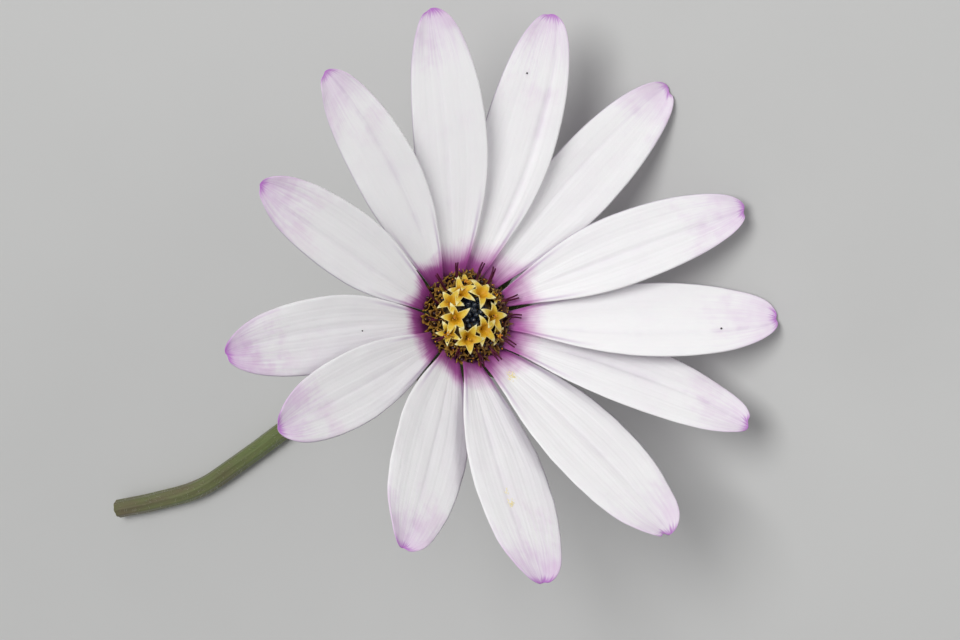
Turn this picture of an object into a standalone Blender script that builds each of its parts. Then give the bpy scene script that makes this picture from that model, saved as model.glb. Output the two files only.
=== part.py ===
# Picked daisy flower, lying on a table on two petal tips and its cut stem.
# Lengths in the tables below are millimetres, angles are degrees, and +Z is up.

import math
import random

import bmesh
import bpy
from mathutils import Matrix, Vector

MM = 0.001
GAP = 0.3

# Whole head: where its centre is, and how far its axis leans from upright towards +X
HEAD_CENTRE = (16.2, -0.7, 17.07)
HEAD_LEAN = 53.0

# Ray florets (petals)
PETAL_COUNT = 13
PETAL_THICKNESS = 0.66
ROOT_RADIUS = 3.6
ROOT_HALF_WIDTH = 0.14
WIDEST_AT = 0.54
FIRST_ROOT = 84.0
ROOT_STEP = 360.0 / PETAL_COUNT
# Columns: direction, length, width, sideways sweep, rise at root, rise at tip, roll, height of root
PETALS = (
    (80.0, 35.2, 8.5, 10.0, 32.0, 18.0, 12.0, 0.1),
    (54.5, 35.2, 8.3, 5.0, 31.0, 17.0, 11.0, 0.0),
    (25.5, 35.0, 8.2, -5.0, 29.0, 13.6, 2.0, -0.2),
    (-3.5, 33.8, 8.0, -10.0, 34.0, 22.0, -1.0, 0.3),
    (-25.5, 35.4, 8.6, 4.0, 30.5, 13.0, 12.0, 0.1),
    (-47.0, 34.0, 7.8, -14.0, 26.0, 16.0, 15.0, -0.3),
    (-78.0, 33.6, 10.6, -9.0, 30.0, 18.0, 16.0, 0.0),
    (-109.6, 33.5, 9.6, 0.0, 31.0, 18.0, 14.0, 0.0),
    (-140.8, 32.8, 9.9, 0.0, 31.0, 18.0, 14.0, 0.1),
    (-176.5, 33.5, 7.5, -8.0, 31.0, 18.0, 11.0, 0.1),
    (168.5, 35.4, 7.9, 10.0, 29.0, 16.0, 11.0, -0.3),
    (134.0, 32.6, 7.6, -2.0, 31.0, 18.0, 11.0, 0.1),
    (106.5, 33.9, 7.3, 10.0, 31.0, 18.0, 13.0, 0.1),
)
PETAL_STATIONS = 16
PETAL_COLUMNS = (-1.0, -0.8, -0.55, -0.28, 0.0, 0.28, 0.55, 0.8, 1.0)

# Involucre: the green cup under the petals, with its pointed bracts
CUP_TOP = -1.05
CUP_PROFILE = ((1.35, -8.2), (2.0, -7.0), (3.2, -5.4), (4.1, -3.6), (4.35, -2.2), (4.1, CUP_TOP))
CUP_SIDES = 26
BRACT_COUNT = 13
BRACT_LENGTH = 6.4
BRACT_WIDTH = 1.9
BRACT_THICKNESS = 0.6

# Disc, from the middle out: closed buds, open florets, spent florets; rings are (inner, outer) radii
DISC_FLOOR = CUP_TOP + GAP
BUD_CORE = (1.05, 2.45)
BUD_COUNT = 11
BUDS_IN_MIDDLE = 3
BUD_RADIUS = 0.36
BUD_TOP = 2.95
OPEN_RING = (1.4, 2.25)
OPEN_RING_TOP = 1.9
OPEN_COUNT = 9
OPEN_FOOT = (1.95, 0.6)
OPEN_MOUTH = (2.75, 2.75)
STAR_REACH = 1.15
SPENT_RING = (2.6, 3.05)
SPENT_RING_TOP = 1.0
SPENT_COUNT = 20
SPENT_FOOT = (2.82, 0.4)
SPENT_KNEE = (3.1, 1.5)
SPENT_HEAD = (4.0, 1.7)
STYLE_RADIUS = 0.22
STYLE_PATH = ((2.8, 1.0), (4.2, 2.1), (5.6, 3.0))
STYLE_TIP = (6.5, 3.75)
STYLE_SPREAD = 0.12

# Stem: a tube bent down from the cup to the table; its places are counted from the head's centre
STEM_RADIUS = 1.15
STEM_TOP_RADIUS = 1.3
STEM_BEND_REACH = 12.0
STEM_BEND_POINTS = 15
STEM_ON_TABLE = ((-36.0, -3.4), (-43.5, -4.8), (-50.0, -5.7), (-56.5, -5.0), (-62.0, -4.0))
STEM_POINTS_PER_PLACE = 3

# Colour and roughness of each material
FINISHES = {
    "petal": ((0.86, 0.82, 0.88), 0.5),
    "bract": ((0.17, 0.25, 0.07), 0.6),
    "stem": ((0.20, 0.24, 0.10), 0.6),
    "spent_floret": ((0.09, 0.035, 0.03), 0.7),
    "open_floret": ((0.83, 0.58, 0.12), 0.5),
    "bud": ((0.03, 0.04, 0.09), 0.25),
}


def clear_scene():
    for item in list(bpy.data.objects):
        bpy.data.objects.remove(item, do_unlink=True)


def make_collection(name):
    made = bpy.data.collections.new(name)
    bpy.context.scene.collection.children.link(made)
    return made


def make_material(name, colour, roughness):
    material = bpy.data.materials.new(name)
    material.use_nodes = True
    shader = material.node_tree.nodes["Principled BSDF"]
    shader.inputs["Base Color"].default_value = (*colour, 1.0)
    shader.inputs["Roughness"].default_value = roughness
    shader.inputs["Metallic"].default_value = 0.0
    material.diffuse_color = (*colour, 1.0)
    return material


def head_matrix():
    """Head frame to world: local +Z is the flower's axis, local +X points down the slope."""
    centre = Vector(HEAD_CENTRE) * MM
    return Matrix.Translation(centre) @ Matrix.Rotation(math.radians(HEAD_LEAN), 4, "Y")


def add_object(name, mesh, material, matrix, collection):
    made = bpy.data.objects.new(name, mesh)
    mesh.materials.clear()
    mesh.materials.append(material)
    made.matrix_world = matrix
    collection.objects.link(made)
    return made


def mesh_from(name, points, faces):
    """Mesh from points in millimetres, with its faces turned outwards."""
    mesh = bpy.data.meshes.new(name)
    mesh.from_pydata([Vector(point) * MM for point in points], [], faces)
    shell = bmesh.new()
    shell.from_mesh(mesh)
    bmesh.ops.recalc_face_normals(shell, faces=shell.faces)
    shell.to_mesh(mesh)
    shell.free()
    return mesh


def polar(radius, angle, height):
    return Vector((radius * math.cos(angle), radius * math.sin(angle), height))


# Petal blades

def width_share(along):
    """Half width of a petal along its length, as a share of its widest half width."""
    if along < WIDEST_AT:
        swell = math.sin(math.pi / 2 * (along / WIDEST_AT) ** 0.8) ** 2
        return ROOT_HALF_WIDTH + (1 - ROOT_HALF_WIDTH) * swell
    past = (along - WIDEST_AT) / (1 - WIDEST_AT)
    return max(0.0, 1 - past ** 2.1) ** 0.47


def cross_height(across, along):
    """Height of a petal's surface over its midline: a trough with two soft grooves."""
    trough = across * across * (0.12 + 0.34 * (1 - along)) * min(1.0, 0.2 + 6 * along)
    groove = 0.13 * math.exp(-(((abs(across) - 0.42) / 0.17) ** 2))
    return trough - groove * min(1.0, 5 * along) * (1 - along * along)


def petal_stations():
    return [1 - (1 - k / PETAL_STATIONS) ** 1.6 for k in range(PETAL_STATIONS + 1)]


def petal_spine(index):
    """Points, tangents, side and upward directions of one petal's midline, in the head frame."""
    aim, length, _, sweep, rise_root, rise_tip, roll, level = PETALS[index]
    root = math.radians(FIRST_ROOT - ROOT_STEP * index)
    place = polar(ROOT_RADIUS, root, level)
    stations = petal_stations()
    reach = length - ROOT_RADIUS
    rows = []
    for k, along in enumerate(stations):
        rise = math.radians(rise_root + (rise_tip - rise_root) * along)
        heading = math.radians(aim + sweep * (along - 0.5))
        level_part = Vector((math.cos(heading), math.sin(heading), 0))
        tangent = level_part * math.cos(rise) + Vector((0, 0, math.sin(rise)))
        if k:
            place = place + (tangent + rows[-1][1]).normalized() * reach * (along - stations[k - 1])
        side = Vector((-math.sin(heading), math.cos(heading), 0))
        upward = tangent.cross(side)
        turn = Matrix.Rotation(math.radians(-roll), 3, tangent)
        rows.append((place, tangent, turn @ side, turn @ upward, along))
    return rows


def petal_mesh(index):
    """A closed blade: matching upper and lower grids, joined round the rim and at the tip."""
    half_width = PETALS[index][2] / 2
    *spine, (tip, _, _, tip_upward, _) = petal_spine(index)
    upper, lower = [], []
    for place, _, side, upward, along in spine:
        half = half_width * width_share(along)
        for across in PETAL_COLUMNS:
            spot = place + side * half * across + upward * cross_height(across, along)
            upper.append(spot + upward * PETAL_THICKNESS / 2)
            lower.append(spot - upward * PETAL_THICKNESS / 2)
    lift = tip_upward * PETAL_THICKNESS / 2
    points = upper + lower + [tip + lift, tip - lift]
    wide = len(PETAL_COLUMNS)
    shift = len(upper)
    tip_up, tip_down = 2 * shift, 2 * shift + 1
    faces = []
    last = PETAL_STATIONS - 1
    for row in range(last):
        for column in range(wide - 1):
            a = row * wide + column
            b, c, d = a + 1, a + wide + 1, a + wide
            faces += [(a, b, c), (a, c, d)]
            faces += [(a + shift, c + shift, b + shift), (a + shift, d + shift, c + shift)]
    for column in range(wide - 1):
        a = last * wide + column
        faces += [(a, a + 1, tip_up), (a + 1 + shift, a + shift, tip_down)]
        faces += [(column, column + shift, column + 1 + shift), (column, column + 1 + shift, column + 1)]
    for column in (0, wide - 1):
        rim = [row * wide + column for row in range(last + 1)]
        for a, b in zip(rim, rim[1:]):
            faces += [(a, b, b + shift), (a, b + shift, a + shift)]
        faces += [(rim[-1], tip_up, tip_down), (rim[-1], tip_down, rim[-1] + shift)]
    return mesh_from("petal", points, faces)


def make_petals(collection, material):
    for index in range(PETAL_COUNT):
        name = "ray_floret_%02d" % (index + 1)
        add_object(name, petal_mesh(index), material, head_matrix(), collection)


# Small closed shapes that the fused heads are made of

def loft(rings):
    """Closed solid through rings of equal count, given as lists of points."""
    count = len(rings[0])
    points = [point for ring in rings for point in ring]
    faces = [tuple(range(count)), tuple(reversed(range(len(points) - count, len(points))))]
    for level in range(len(rings) - 1):
        for k in range(count):
            a = level * count + k
            b = level * count + (k + 1) % count
            faces.append((a, b, b + count, a + count))
    return mesh_from("loft", points, faces)


def turned(profile, sides):
    """Solid of revolution about the head's axis, from (radius, height) pairs, flat at both ends."""
    rings = []
    for radius, height in profile:
        rings.append([polar(radius, 2 * math.pi * k / sides, height) for k in range(sides)])
    return loft(rings)


def ring_solid(radii, low, high, sides):
    """Ring with a square section round the head's axis."""
    inner, outer = radii
    section = ((inner, low), (outer, low), (outer, high), (inner, high))
    points = []
    for k in range(sides):
        points += [polar(radius, 2 * math.pi * k / sides, height) for radius, height in section]
    faces = []
    for k in range(sides):
        ahead = (k + 1) % sides
        for m in range(4):
            n = (m + 1) % 4
            faces.append((4 * k + m, 4 * k + n, 4 * ahead + n, 4 * ahead + m))
    return mesh_from("ring", points, faces)


def rod(path, radii, sides):
    """Round rod along points, with a flat end at each side."""
    rings = []
    for k, point in enumerate(path):
        before = path[max(0, k - 1)]
        after = path[min(len(path) - 1, k + 1)]
        frame = (after - before).to_track_quat("Z", "Y")
        ring = []
        for m in range(sides):
            angle = 2 * math.pi * m / sides
            ring.append(point + frame @ Vector((radii[k] * math.cos(angle), radii[k] * math.sin(angle), 0)))
        rings.append(ring)
    return loft(rings)


def leaf_blade(path, widths, thickness, across):
    """Flat pointed blade along points, as wide as given in the direction across."""
    rings = []
    for k, point in enumerate(path):
        before = path[max(0, k - 1)]
        after = path[min(len(path) - 1, k + 1)]
        upward = (after - before).cross(across).normalized()
        half, lift = across * widths[k] / 2, upward * thickness / 2
        rings.append([point - half - lift, point + half - lift, point + half + lift, point - half + lift])
    return loft(rings)


def fuse(name, pieces, material, collection):
    """One closed body from overlapping shapes, by a union on a collection."""
    helpers = bpy.data.collections.new(name + "_pieces")
    bpy.context.scene.collection.children.link(helpers)
    for mesh in pieces[1:]:
        helpers.objects.link(bpy.data.objects.new(name + "_piece", mesh))
    body = add_object(name, pieces[0], material, Matrix.Identity(4), collection)
    union = body.modifiers.new("union", "BOOLEAN")
    union.operation = "UNION"
    union.operand_type = "COLLECTION"
    union.collection = helpers
    bpy.context.view_layer.update()
    joined = bpy.data.meshes.new_from_object(body.evaluated_get(bpy.context.evaluated_depsgraph_get()))
    body.modifiers.clear()
    body.data = joined
    joined.materials.clear()
    joined.materials.append(material)
    for piece in list(helpers.objects):
        bpy.data.objects.remove(piece, do_unlink=True)
    bpy.data.collections.remove(helpers)
    tidy_body(joined)
    body.matrix_world = head_matrix()
    return body


def tidy_body(mesh):
    """Joins the points that a union leaves on top of each other."""
    shell = bmesh.new()
    shell.from_mesh(mesh)
    bmesh.ops.remove_doubles(shell, verts=shell.verts, dist=0.000002)
    bmesh.ops.dissolve_degenerate(shell, dist=0.000002, edges=shell.edges)
    bmesh.ops.triangulate(shell, faces=shell.faces)
    shell.to_mesh(mesh)
    shell.free()


# Involucre

def bract_mesh(index):
    """One pointed bract, growing from the cup's rim and following the petals' rise beneath them."""
    angle = math.radians(FIRST_ROOT - ROOT_STEP * (index + 0.5))
    length = BRACT_LENGTH * (0.92 + 0.16 * random.random())
    across = Vector((-math.sin(angle), math.cos(angle), 0))
    path, widths = [], []
    for along, width in ((0.0, 0.8), (0.3, 1.0), (0.6, 0.8), (0.85, 0.45), (1.0, 0.2)):
        reach = length * along
        path.append(polar(3.6 + reach * 0.80, angle, -3.4 + reach * 0.58 - 0.5 * math.sin(math.pi * along)))
        widths.append(BRACT_WIDTH * width)
    return leaf_blade(path, widths, BRACT_THICKNESS, across)


def make_involucre(collection, material):
    pieces = [turned(CUP_PROFILE, CUP_SIDES)]
    pieces += [bract_mesh(index) for index in range(BRACT_COUNT)]
    fuse("involucre", pieces, material, collection)


# Disc

def star_floret(foot, mouth, outward, reach):
    """An open floret: a slim tube whose mouth opens into five pointed lobes round a hollow throat."""
    axis = (mouth - foot).normalized()
    first = axis.cross(outward).normalized()
    second = axis.cross(first)
    # Each level: its middle, its radius at the five lobes and its radius between them
    levels = ((foot, 0.26, 0.26), (mouth - axis * 0.45, 0.32, 0.32), (mouth, reach, 0.46),
              (mouth + axis * 0.26, reach * 0.94, 0.38), (mouth - axis * 0.1, 0.14, 0.14))
    rings = []
    for middle, lobe, between in levels:
        ring = []
        for k in range(10):
            angle = math.pi * k / 5
            away = first * math.cos(angle) + second * math.sin(angle)
            radius = between if k % 2 else lobe
            ring.append(middle + away * radius + axis * 0.35 * max(0.0, radius - 0.5))
        rings.append(ring)
    return loft(rings)


def make_open_florets(collection, material):
    pieces = [ring_solid(OPEN_RING, DISC_FLOOR, OPEN_RING_TOP, 18)]
    for index in range(OPEN_COUNT):
        angle = 2 * math.pi * (index + 0.2 * random.random()) / OPEN_COUNT
        height = OPEN_MOUTH[1] + 0.25 * random.random()
        foot = polar(OPEN_FOOT[0], angle, OPEN_FOOT[1])
        mouth = polar(OPEN_MOUTH[0] + 0.2 * random.random(), angle, height)
        reach = STAR_REACH * (0.85 + 0.15 * random.random())
        pieces.append(star_floret(foot, mouth, polar(1, angle, 0), reach))
    fuse("disc_florets_open", pieces, material, collection)


def make_buds(collection, material):
    core, shoulder = BUD_CORE
    pieces = [turned(((core, DISC_FLOOR), (core, shoulder), (0.57 * core, BUD_TOP)), 12)]
    for index in range(BUD_COUNT):
        inner = index < BUDS_IN_MIDDLE
        if inner:
            share, radius, height = index / BUDS_IN_MIDDLE, 0.42, BUD_TOP + 0.12
        else:
            share = (index - BUDS_IN_MIDDLE) / (BUD_COUNT - BUDS_IN_MIDDLE)
            radius, height = 0.98, BUD_TOP - 0.28
        angle = 2 * math.pi * share
        height += 0.12 * random.random()
        foot = polar(radius * 0.6, angle, height - 1.2)
        head = polar(radius, angle, height)
        top = head + (head - foot).normalized() * 0.22
        radii = (0.2, BUD_RADIUS, 0.85 * BUD_RADIUS, 0.16)
        pieces.append(rod([foot, head.lerp(foot, 0.3), head, top], radii, 6))
    fuse("disc_buds", pieces, material, collection)


def make_spent_florets(collection, material):
    pieces = [ring_solid(SPENT_RING, DISC_FLOOR, SPENT_RING_TOP, 26)]
    for index in range(SPENT_COUNT):
        angle = 2 * math.pi * (index + 0.3 * random.random()) / SPENT_COUNT
        reach = SPENT_HEAD[0] + 0.5 * random.random()
        height = SPENT_HEAD[1] + 0.3 * random.random()
        path = [polar(SPENT_FOOT[0], angle, SPENT_FOOT[1]), polar(SPENT_KNEE[0], angle, SPENT_KNEE[1]),
                polar(reach, angle, height)]
        pieces.append(rod(path, (0.2, 0.24, 0.34), 5))
    for index in range(PETAL_COUNT):
        pieces += style_pieces(math.radians(FIRST_ROOT - ROOT_STEP * index))
    fuse("disc_florets_outer", pieces, material, collection)


def style_pieces(angle):
    """The thread of a ray floret: it leans out over the petal's foot and forks in two."""
    path = [polar(radius, angle, height) for radius, height in STYLE_PATH]
    pieces = [rod(path, (STYLE_RADIUS, STYLE_RADIUS, STYLE_RADIUS), 5)]
    for side in (-1, 1):
        start = path[-1].lerp(path[-2], 0.14) + Vector((0, 0, 0.02 * side))
        tip = polar(STYLE_TIP[0], angle + STYLE_SPREAD * side, STYLE_TIP[1])
        pieces.append(rod([start, tip], (0.85 * STYLE_RADIUS, 0.65 * STYLE_RADIUS), 4))
    return pieces


# Stem

def bezier(a, b, c, d, share):
    rest = 1 - share
    return a * rest ** 3 + b * 3 * rest * rest * share + c * 3 * rest * share * share + d * share ** 3


def smooth_between(before, a, b, after, share):
    """Point on a smooth curve from a to b that also follows the places before and after them."""
    return bezier(a, a + (b - before) / 6, b - (after - a) / 6, b, share)


def stem_route():
    """Points and radii from under the cup to the cut end, in world millimetres."""
    head = Vector(HEAD_CENTRE)
    axis = Matrix.Rotation(math.radians(HEAD_LEAN), 3, "Y") @ Vector((0, 0, 1))
    start = head + axis * (CUP_PROFILE[0][1] - GAP)
    table = [Vector((head.x + x, head.y + y, STEM_RADIUS)) for x, y in STEM_ON_TABLE]
    handle = (table[0] - table[1]).normalized() * STEM_BEND_REACH
    route = []
    # Down from the cup in one bend, then along the table
    for k in range(STEM_BEND_POINTS):
        share = k / (STEM_BEND_POINTS - 1)
        point = bezier(start, start - axis * STEM_BEND_REACH, table[0] + handle, table[0], share)
        route.append((point, STEM_TOP_RADIUS + (STEM_RADIUS - STEM_TOP_RADIUS) * share))
    places = [table[0] * 2 - table[1]] + table + [table[-1] * 2 - table[-2]]
    for k in range(1, len(places) - 2):
        for step in range(1, STEM_POINTS_PER_PLACE + 1):
            point = smooth_between(*places[k - 1:k + 3], step / STEM_POINTS_PER_PLACE)
            route.append((point, STEM_RADIUS))
    return route


def make_stem(collection, material):
    curve = bpy.data.curves.new("stem", "CURVE")
    curve.dimensions = "3D"
    curve.bevel_depth = STEM_RADIUS * MM
    curve.bevel_resolution = 4
    curve.use_fill_caps = True
    route = stem_route()
    line = curve.splines.new("POLY")
    line.points.add(len(route) - 1)
    for spot, (point, radius) in zip(line.points, route):
        spot.co = (*(point * MM), 1.0)
        spot.radius = radius / STEM_RADIUS
    curve.materials.append(material)
    stem = bpy.data.objects.new("stem", curve)
    collection.objects.link(stem)


def main():
    random.seed(13)
    clear_scene()
    flower = make_collection("daisy")
    materials = {name: make_material(name, *finish) for name, finish in FINISHES.items()}
    make_stem(flower, materials["stem"])
    make_involucre(flower, materials["bract"])
    make_petals(flower, materials["petal"])
    make_spent_florets(flower, materials["spent_floret"])
    make_open_florets(flower, materials["open_floret"])
    make_buds(flower, materials["bud"])


main()
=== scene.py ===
import math
import random

import bmesh
import bpy
from mathutils import Matrix, Vector


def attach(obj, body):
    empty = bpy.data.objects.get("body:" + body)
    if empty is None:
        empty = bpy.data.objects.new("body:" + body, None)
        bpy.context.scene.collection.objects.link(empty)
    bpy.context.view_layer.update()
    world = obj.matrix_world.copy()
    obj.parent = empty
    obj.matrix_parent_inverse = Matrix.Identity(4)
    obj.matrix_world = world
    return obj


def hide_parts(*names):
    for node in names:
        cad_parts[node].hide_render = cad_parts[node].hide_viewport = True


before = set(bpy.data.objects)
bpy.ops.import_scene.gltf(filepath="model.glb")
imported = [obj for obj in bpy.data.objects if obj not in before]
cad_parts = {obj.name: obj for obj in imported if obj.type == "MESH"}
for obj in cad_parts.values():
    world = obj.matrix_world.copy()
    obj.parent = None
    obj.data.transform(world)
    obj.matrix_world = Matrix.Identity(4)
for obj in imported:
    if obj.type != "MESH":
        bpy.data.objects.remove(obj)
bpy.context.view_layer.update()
mm = 0.001
random.seed(29)

# The head's own frame: +Z is the flower's axis and +X points down its slope
head = {"centre": (16.2, -0.7, 17.07), "lean": 53.0}
headPlace = Matrix.Translation(Vector(head["centre"])) @ Matrix.Rotation(math.radians(head["lean"]), 4, "Y")
headTurn = headPlace.to_3x3()
headCentre = Vector(head["centre"]) * mm   # in metres


# Node wiring: every helper adds its nodes to the tree on the bench

bench = {"tree": None}


class Wire:
    # A node's output that takes part in sums; the node's other outputs go by name in brackets
    def __init__(self, socket):
        self.socket = socket

    def __getitem__(self, name):
        return Wire(socketNamed(self.socket.node.outputs, name))


def socketNamed(sockets, name):
    return next(s for s in sockets if s.enabled and s.name == name)


def feed(slot, term):
    if isinstance(term, Wire):
        bench["tree"].links.new(term.socket, slot)
    else:
        slot.default_value = term


def put(kind, feeds=None, **settings):
    # A new node; gives its first output in use
    step = bench["tree"].nodes.new(kind)
    for name, value in settings.items():
        setattr(step, name, value)
    for name, term in (feeds or {}).items():
        feed(socketNamed(step.inputs, name), term)
    return Wire(next(s for s in step.outputs if s.enabled))


def calc(operation, *terms, kind="ShaderNodeMath"):
    answer = put(kind, operation=operation)
    for slot, term in zip((s for s in answer.socket.node.inputs if s.enabled), terms):
        feed(slot, term)
    return answer


def vectorCalc(operation, *terms):
    return calc(operation, *terms, kind="ShaderNodeVectorMath")


for mark, operation in (("add", "ADD"), ("sub", "SUBTRACT"), ("mul", "MULTIPLY"), ("truediv", "DIVIDE"),
                        ("pow", "POWER")):
    setattr(Wire, f"__{mark}__", lambda a, b, op=operation: calc(op, a, b))
    setattr(Wire, f"__r{mark}__", lambda a, b, op=operation: calc(op, b, a))


def atMost(value, limit=1.0):
    return calc("MINIMUM", value, limit)


def atLeast(value, limit=0.0):
    return calc("MAXIMUM", value, limit)


def scaled(vector, factor):
    return put("ShaderNodeVectorMath", {"Vector": vector, "Scale": factor}, operation="SCALE")


def joinXYZ(x, y, z):
    return put("ShaderNodeCombineXYZ", {"X": x, "Y": y, "Z": z})


def ease(value, low, high):
    # Smooth step from 0 to 1 while value goes from low to high
    feeds = {"Value": value, "From Min": low, "From Max": high}
    return put("ShaderNodeMapRange", feeds, interpolation_type="SMOOTHSTEP")


def bell(value, middle, width):
    # 1 at the middle, falling off to nothing over about twice the width
    away = (value - middle) / width
    return calc("EXPONENT", away * away * -1.0)


def noiseAt(vector, scale, detail=2.0, rough=0.5):
    return put("ShaderNodeTexNoise", {"Vector": vector, "Scale": scale, "Detail": detail, "Roughness": rough})


def startTree(name, inputs, outputs=()):
    # A geometry tree, or a shader group if it names its outputs; gives its inputs as wires
    tree = bench["tree"] = bpy.data.node_groups.new(name, "ShaderNodeTree" if outputs else "GeometryNodeTree")
    if not outputs:
        tree.interface.new_socket("Geometry", in_out="OUTPUT", socket_type="NodeSocketGeometry")
        inputs = {"Geometry": "Geometry", **inputs, "Material": "Material"}
    for label, value in inputs.items():
        kind = value if isinstance(value, str) else {float: "Float", int: "Int", tuple: "Vector"}[type(value)]
        made = tree.interface.new_socket(label, in_out="INPUT", socket_type="NodeSocket" + kind)
        if not isinstance(value, str):
            made.default_value = value
    for label in outputs:
        tree.interface.new_socket(label, in_out="OUTPUT", socket_type="NodeSocketFloat")
    entry = tree.nodes.new("NodeGroupInput")
    return {s.name: Wire(s) for s in entry.outputs if s.name}


def endGroup(**results):
    leave = bench["tree"].nodes.new("NodeGroupOutput")
    for name, wire in results.items():
        feed(leave.inputs[name], wire)
    return bench["tree"]


def endTree(geometry, given):
    real = put("GeometryNodeRealizeInstances", {"Geometry": geometry})
    smooth = put("GeometryNodeSetShadeSmooth", {"Geometry": real})
    painted = put("GeometryNodeSetMaterial", {"Geometry": smooth, "Material": given["Material"]})
    return endGroup(Geometry=painted)


def capture(geometry, **fields):
    # Keeps fields on the points of a geometry; gives the geometry and the kept wires
    step = bench["tree"].nodes.new("GeometryNodeCaptureAttribute")
    feed(step.inputs["Geometry"], geometry)
    for name, wire in fields.items():
        step.capture_items.new("VECTOR" if wire.socket.type == "VECTOR" else "FLOAT", name)
        feed(step.inputs[name], wire)
    return [Wire(socketNamed(step.outputs, name)) for name in ("Geometry", *fields)]


def store(geometry, name, value):
    return put("GeometryNodeStoreNamedAttribute", {"Geometry": geometry, "Name": name, "Value": value})


def field(name, kind="FLOAT"):
    return put("GeometryNodeInputNamedAttribute", {"Name": name}, data_type=kind)


def linked(name, data):
    holder = bpy.data.objects.new(name, data)
    bpy.context.scene.collection.objects.link(holder)
    return holder


def plainMesh(name, holder):
    # The evaluated shape of an object as a mesh of its own; the object goes
    bpy.context.view_layer.update()
    evaluated = holder.evaluated_get(bpy.context.evaluated_depsgraph_get())
    mesh = bpy.data.meshes.new_from_object(evaluated)
    mesh.name = name
    bpy.data.objects.remove(holder, do_unlink=True)
    return mesh


def grow(name, tree, skin, values, base=None):
    # Runs a tree on start data and keeps the result as a plain mesh
    values = {**values, "Material": skins[skin]}
    holder = linked(name + "Start", base or bpy.data.meshes.new(name + "Start"))
    modifier = holder.modifiers.new(name, "NODES")
    modifier.node_group = tree
    for item in tree.interface.items_tree:
        if item.in_out == "INPUT" and item.name in values:
            modifier[item.identifier] = values[item.name]
    return plainMesh(name, holder)


def placePiece(name, mesh, slot, *replaced):
    # Puts a finished mesh into the scene as a piece that rides on the flower
    piece = linked(name, mesh)
    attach(piece, "root")
    if replaced:
        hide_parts(*replaced)
    return piece


def toHead(mesh):
    # From head-frame millimetres to metres on the table
    mesh.transform(Matrix.Scale(mm, 4) @ headPlace)
    return mesh


def polar(radius, degrees, height):
    angle = math.radians(degrees)
    return Vector((radius * math.cos(angle), radius * math.sin(angle), height))


def vary(reach):
    return random.uniform(-reach, reach)


# Shader groups and materials

def fibreGroup():
    # Fine streaks that run with a petal, bract or stem: Mask for colour, Relief for bump
    given = startTree("fibreGrain", {"Across": 0.0, "Along": 0.0, "Seed": 0.0, "Count": 20.0, "Wander": 1.0},
                      ("Mask", "Relief"))
    drift = noiseAt(joinXYZ(given["Across"] * 2.0, given["Along"] * 3.0, given["Seed"]), 1.0)
    place = given["Across"] * given["Count"] + (drift - 0.5) * given["Wander"]
    streaks = noiseAt(joinXYZ(place, given["Along"] * 1.5, given["Seed"]), 1.0, 3.0, 0.6)
    mask = ease(streaks, 0.35, 0.68)
    return endGroup(Mask=mask, Relief=mask * 0.5 + calc("SINE", place * 4.4) * 0.25 + 0.25)


def mottleGroup():
    # Blotches and cells of plant skin: Blotch is broad, Cells is fine
    given = startTree("tissueMottle", {"Place": (0.0, 0.0, 0.0), "Broad": 200.0, "Fine": 4000.0, "Seed": 0.0},
                      ("Blotch", "Cells"))
    spot = vectorCalc("ADD", given["Place"], joinXYZ(given["Seed"], 0.0, 0.0))
    blotch = ease(noiseAt(spot, given["Broad"], 3.0, 0.6), 0.38, 0.72)
    cells = put("ShaderNodeTexVoronoi", {"Vector": spot, "Scale": given["Fine"]})
    return endGroup(Blotch=blotch, Cells=cells)


fibreGrain = fibreGroup()
tissueMottle = mottleGroup()


def useGroup(group, **feeds):
    step = bench["tree"].nodes.new("ShaderNodeGroup")
    step.node_tree = group
    for name, term in feeds.items():
        feed(step.inputs[name], term)
    return [Wire(s) for s in step.outputs]


def objectPlace():
    return put("ShaderNodeTexCoord")["Object"]


def mottled(broad, fine, seed=0.0):
    return useGroup(tissueMottle, Place=objectPlace(), Broad=broad, Fine=fine, Seed=seed)


def attribute(name):
    return put("ShaderNodeAttribute", attribute_name=name)["Fac"]


def tint(factor, first, second):
    # Colour between first and second by factor
    first, second = (c if isinstance(c, Wire) else (*c, 1.0) for c in (first, second))
    return put("ShaderNodeMix", {"Factor": factor, "A": first, "B": second}, data_type="RGBA")


def startMaterial(name, **constants):
    # Principled material; constants are set on the shader's own sockets
    material = bpy.data.materials.new(name)
    material.use_nodes = True
    bench["tree"] = material.node_tree
    for label, value in constants.items():
        material.node_tree.nodes["Principled BSDF"].inputs[label.replace("_", " ")].default_value = value
    return material


def dress(material, colour, height=None, strength=1.0, lift=0.1, rough=None):
    # Feeds a material's colour and, where it has them, its bump and its uneven roughness
    slots = material.node_tree.nodes["Principled BSDF"].inputs
    feed(slots["Base Color"], colour)
    if rough:
        feed(slots["Roughness"], rough)
    if height:
        bump = put("ShaderNodeBump", {"Strength": strength, "Distance": lift * mm, "Height": height})
        feed(slots["Normal"], bump)
    return material


petalFinish = {
    "white": (0.855, 0.845, 0.845), "cool": (0.78, 0.75, 0.8), "lilac": (0.62, 0.4, 0.66),
    "blush": (0.78, 0.58, 0.71), "vein": (0.36, 0.21, 0.42), "tip": (0.42, 0.12, 0.5),
    "ringPink": (0.52, 0.14, 0.45), "ringDark": (0.18, 0.013, 0.14), "ringShade": (0.07, 0.008, 0.045),
    "underside": (0.62, 0.56, 0.66), "undersideBand": (0.34, 0.2, 0.36), "rough": 0.46,
}


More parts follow.
